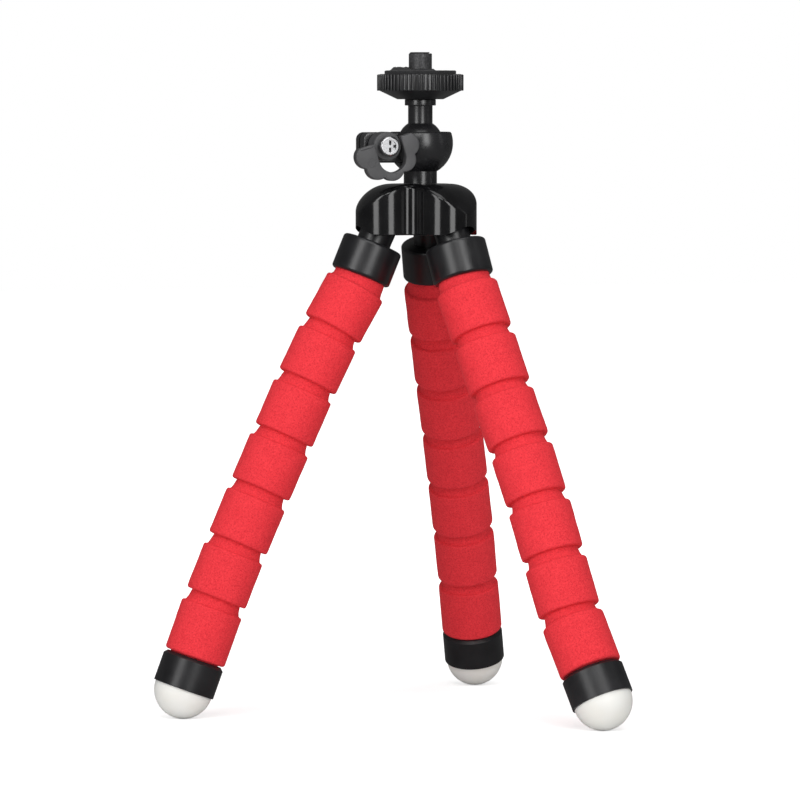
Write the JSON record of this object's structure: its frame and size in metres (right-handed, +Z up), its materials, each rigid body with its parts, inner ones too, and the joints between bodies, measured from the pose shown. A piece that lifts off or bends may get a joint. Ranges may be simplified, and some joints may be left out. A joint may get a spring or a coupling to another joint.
{
  "type": "mini tripod with ball head",
  "caption": "Pocket tripod with a ball head, side clamp knob, round hub and bendable foam-covered legs that fold at the hub and end in soft domed feet.",
  "frame": {"origin": "middle of the camera seat, at the foot of the camera screw's exposed thread, on the head's axis", "axes": "+Z up along the camera screw; the clamp ears and leg a point along -X and the clamp knob along -Y; legs b and c stand at 300 and 60 degrees about +Z"},
  "size_m": [0.1169, 0.1321, 0.1809],
  "materials": {
    "bright_chrome": "bright chrome plate",
    "cap_black": "satin black moulding",
    "collar_satin": "satin black moulding",
    "disc_black": "satin black moulding with fine ribs",
    "head_black": "semi-gloss black moulding",
    "hub_gloss": "glossy black moulding",
    "pad_rubber": "matt black thin rubber",
    "red_foam": "matt red closed-cell foam with fine pores",
    "screw_black": "dull black coated thread",
    "white_foot": "smooth milky soft plastic",
    "wire": "bare bendable wire",
    "zinc_steel": "plain zinc plated steel"
  },
  "bodies": {
    "hub": {"hub_cover": "hub_gloss", "hub_washer": "zinc_steel", "hub_screw": "zinc_steel"},
    "socket": {"ball_socket": "head_black", "clamp_nut": "zinc_steel"},
    "clamp_slide": {"clamp_washer": "zinc_steel"},
    "knob": {"clamp_knob": "head_black", "clamp_screw": "bright_chrome"},
    "ball": {"head_ball": "head_black"},
    "stud": {"camera_stud": "screw_black"},
    "pad": {"seat_pad": "pad_rubber"},
    "disc": {"locking_disc": "disc_black"},
    "leg_a": {"leg_a_cap": "collar_satin", "leg_a_wire": "wire"},
    "leg_a_link_1": {"leg_a_foam_1": "red_foam"},
    "leg_a_link_2": {"leg_a_foam_2": "red_foam"},
    "leg_a_link_3": {"leg_a_foam_3": "red_foam"},
    "leg_a_link_4": {"leg_a_foam_4": "red_foam"},
    "leg_a_link_5": {"leg_a_foam_5": "red_foam"},
    "leg_a_link_6": {"leg_a_foam_6": "red_foam"},
    "leg_a_link_7": {"leg_a_foam_7": "red_foam", "leg_a_end_cap": "cap_black", "leg_a_foot": "white_foot"},
    "leg_b": {"leg_b_cap": "collar_satin", "leg_b_wire": "wire"},
    "leg_b_link_1": {"leg_b_foam_1": "red_foam"},
    "leg_b_link_2": {"leg_b_foam_2": "red_foam"},
    "leg_b_link_3": {"leg_b_foam_3": "red_foam"},
    "leg_b_link_4": {"leg_b_foam_4": "red_foam"},
    "leg_b_link_5": {"leg_b_foam_5": "red_foam"},
    "leg_b_link_6": {"leg_b_foam_6": "red_foam"},
    "leg_b_link_7": {"leg_b_foam_7": "red_foam", "leg_b_end_cap": "cap_black", "leg_b_foot": "white_foot"},
    "leg_c": {"leg_c_cap": "collar_satin", "leg_c_wire": "wire"},
    "leg_c_link_1": {"leg_c_foam_1": "red_foam"},
    "leg_c_link_2": {"leg_c_foam_2": "red_foam"},
    "leg_c_link_3": {"leg_c_foam_3": "red_foam"},
    "leg_c_link_4": {"leg_c_foam_4": "red_foam"},
    "leg_c_link_5": {"leg_c_foam_5": "red_foam"},
    "leg_c_link_6": {"leg_c_foam_6": "red_foam"},
    "leg_c_link_7": {"leg_c_foam_7": "red_foam", "leg_c_end_cap": "cap_black", "leg_c_foot": "white_foot"}
  },
  "joints": [
    {"name": "head_swivel", "type": "hinge", "parent": "hub", "child": "socket", "pos_m": [0, 0, -0.03102], "axis": [0, 0, 1], "continuous": true},
    {"name": "knob_travel", "type": "slide", "parent": "socket", "child": "clamp_slide", "axis": [0, -1, 0], "range_m": [0, 0.001]},
    {"name": "knob_turn", "type": "hinge", "parent": "clamp_slide", "child": "knob", "pos_m": [-0.0124, 0, -0.02062], "axis": [0, -1, 0], "range_deg": [0, 720]},
    {"name": "ball_tilt", "type": "hinge", "parent": "socket", "child": "ball", "pos_m": [0, 0, -0.01972], "axis": [0, 1, 0], "range_deg": [-28, 28]},
    {"name": "stud_turn", "type": "hinge", "parent": "ball", "child": "stud", "pos_m": [0, 0, -0.00805], "axis": [0, 0, 1], "continuous": true},
    {"name": "pad_rise", "type": "slide", "parent": "stud", "child": "pad", "axis": [0, 0, 1], "range_m": [0, 0.00381]},
    {"name": "disc_turn", "type": "hinge", "parent": "pad", "child": "disc", "pos_m": [0, 0, -0.001], "axis": [0, 0, 1], "range_deg": [0, 1080]},
    {"name": "leg_a_fold", "type": "hinge", "parent": "hub", "child": "leg_a", "pos_m": [-0.0102, 0, -0.03952], "axis": [0, 1, 0], "range_deg": [-22.5, 7.5]},
    {"name": "leg_a_bend", "type": "hinge", "parent": "leg_a", "child": "leg_a_link_1", "pos_m": [-0.01778, 0, -0.05781], "axis": [0, -1, 0], "range_deg": [-12, 6], "deforming": ["leg_a_wire"]},
    {"name": "leg_a_bend_2", "type": "hinge", "parent": "leg_a_link_1", "child": "leg_a_link_2", "pos_m": [-0.02566, 0, -0.07174], "axis": [0, -1, 0], "range_deg": [-12, 6]},
    {"name": "leg_a_bend_3", "type": "hinge", "parent": "leg_a_link_2", "child": "leg_a_link_3", "pos_m": [-0.0328, 0, -0.08605], "axis": [0, -1, 0], "range_deg": [-12, 6]},
    {"name": "leg_a_bend_4", "type": "hinge", "parent": "leg_a_link_3", "child": "leg_a_link_4", "pos_m": [-0.03943, 0, -0.10061], "axis": [0, -1, 0], "range_deg": [-12, 6]},
    {"name": "leg_a_bend_5", "type": "hinge", "parent": "leg_a_link_4", "child": "leg_a_link_5", "pos_m": [-0.04599, 0, -0.11521], "axis": [0, -1, 0], "range_deg": [-12, 6]},
    {"name": "leg_a_bend_6", "type": "hinge", "parent": "leg_a_link_5", "child": "leg_a_link_6", "pos_m": [-0.05242, 0, -0.12986], "axis": [0, -1, 0], "range_deg": [-12, 6]},
    {"name": "leg_a_bend_7", "type": "hinge", "parent": "leg_a_link_6", "child": "leg_a_link_7", "pos_m": [-0.05847, 0, -0.14467], "axis": [0, -1, 0], "range_deg": [-12, 6]},
    {"name": "leg_b_fold", "type": "hinge", "parent": "hub", "child": "leg_b", "pos_m": [0.0051, -0.00883, -0.03952], "axis": [-0.866, -0.5, 0], "range_deg": [-19.5, 10.5]},
    {"name": "leg_b_bend", "type": "hinge", "parent": "leg_b", "child": "leg_b_link_1", "pos_m": [0.0084, -0.01456, -0.05818], "axis": [0.866, 0.5, 0], "range_deg": [-12, 6], "deforming": ["leg_b_wire"]},
    {"name": "leg_b_bend_2", "type": "hinge", "parent": "leg_b_link_1", "child": "leg_b_link_2", "pos_m": [0.01181, -0.02045, -0.07266], "axis": [0.866, 0.5, 0], "range_deg": [-12, 6]},
    {"name": "leg_b_bend_3", "type": "hinge", "parent": "leg_b_link_2", "child": "leg_b_link_3", "pos_m": [0.01514, -0.02623, -0.0872], "axis": [0.866, 0.5, 0], "range_deg": [-12, 6]},
    {"name": "leg_b_bend_4", "type": "hinge", "parent": "leg_b_link_3", "child": "leg_b_link_4", "pos_m": [0.01861, -0.03223, -0.10163], "axis": [0.866, 0.5, 0], "range_deg": [-12, 6]},
    {"name": "leg_b_bend_5", "type": "hinge", "parent": "leg_b_link_4", "child": "leg_b_link_5", "pos_m": [0.02182, -0.03779, -0.11628], "axis": [0.866, 0.5, 0], "range_deg": [-12, 6]},
    {"name": "leg_b_bend_6", "type": "hinge", "parent": "leg_b_link_5", "child": "leg_b_link_6", "pos_m": [0.02477, -0.04291, -0.13115], "axis": [0.866, 0.5, 0], "range_deg": [-12, 6]},
    {"name": "leg_b_bend_7", "type": "hinge", "parent": "leg_b_link_6", "child": "leg_b_link_7", "pos_m": [0.02779, -0.04813, -0.14597], "axis": [0.866, 0.5, 0], "range_deg": [-12, 6]},
    {"name": "leg_c_fold", "type": "hinge", "parent": "hub", "child": "leg_c", "pos_m": [0.0051, 0.00883, -0.03952], "axis": [0.866, -0.5, 0], "range_deg": [-18, 12]},
    {"name": "leg_c_bend", "type": "hinge", "parent": "leg_c", "child": "leg_c_link_1", "pos_m": [0.00816, 0.01413, -0.05835], "axis": [-0.866, 0.5, 0], "range_deg": [-12, 6], "deforming": ["leg_c_wire"]},
    {"name": "leg_c_bend_2", "type": "hinge", "parent": "leg_c_link_1", "child": "leg_c_link_2", "pos_m": [0.01172, 0.02031, -0.07267], "axis": [-0.866, 0.5, 0], "range_deg": [-12, 6]},
    {"name": "leg_c_bend_3", "type": "hinge", "parent": "leg_c_link_2", "child": "leg_c_link_3", "pos_m": [0.01547, 0.0268, -0.08681], "axis": [-0.866, 0.5, 0], "range_deg": [-12, 6]},
    {"name": "leg_c_bend_4", "type": "hinge", "parent": "leg_c_link_3", "child": "leg_c_link_4", "pos_m": [0.01916, 0.03319, -0.101], "axis": [-0.866, 0.5, 0], "range_deg": [-12, 6]},
    {"name": "leg_c_bend_5", "type": "hinge", "parent": "leg_c_link_4", "child": "leg_c_link_5", "pos_m": [0.02273, 0.03936, -0.11533], "axis": [-0.866, 0.5, 0], "range_deg": [-12, 6]},
    {"name": "leg_c_bend_6", "type": "hinge", "parent": "leg_c_link_5", "child": "leg_c_link_6", "pos_m": [0.0261, 0.04521, -0.12983], "axis": [-0.866, 0.5, 0], "range_deg": [-12, 6]},
    {"name": "leg_c_bend_7", "type": "hinge", "parent": "leg_c_link_6", "child": "leg_c_link_7", "pos_m": [0.02916, 0.0505, -0.14462], "axis": [-0.866, 0.5, 0], "range_deg": [-12, 6]}
  ],
  "couplings": [
    {"joint": "knob_turn", "follows": "knob_travel", "rad_per_m": 12566},
    {"joint": "disc_turn", "follows": "pad_rise", "rad_per_m": 4947.4},
    {"joint": "leg_a_bend_2", "follows": "leg_a_bend", "ratio": 1},
    {"joint": "leg_a_bend_3", "follows": "leg_a_bend", "ratio": 1},
    {"joint": "leg_a_bend_4", "follows": "leg_a_bend", "ratio": 1},
    {"joint": "leg_a_bend_5", "follows": "leg_a_bend", "ratio": 1},
    {"joint": "leg_a_bend_6", "follows": "leg_a_bend", "ratio": 1},
    {"joint": "leg_a_bend_7", "follows": "leg_a_bend", "ratio": 1},
    {"joint": "leg_b_bend_2", "follows": "leg_b_bend", "ratio": 1},
    {"joint": "leg_b_bend_3", "follows": "leg_b_bend", "ratio": 1},
    {"joint": "leg_b_bend_4", "follows": "leg_b_bend", "ratio": 1},
    {"joint": "leg_b_bend_5", "follows": "leg_b_bend", "ratio": 1},
    {"joint": "leg_b_bend_6", "follows": "leg_b_bend", "ratio": 1},
    {"joint": "leg_b_bend_7", "follows": "leg_b_bend", "ratio": 1},
    {"joint": "leg_c_bend_2", "follows": "leg_c_bend", "ratio": 1},
    {"joint": "leg_c_bend_3", "follows": "leg_c_bend", "ratio": 1},
    {"joint": "leg_c_bend_4", "follows": "leg_c_bend", "ratio": 1},
    {"joint": "leg_c_bend_5", "follows": "leg_c_bend", "ratio": 1},
    {"joint": "leg_c_bend_6", "follows": "leg_c_bend", "ratio": 1},
    {"joint": "leg_c_bend_7", "follows": "leg_c_bend", "ratio": 1}
  ]
}
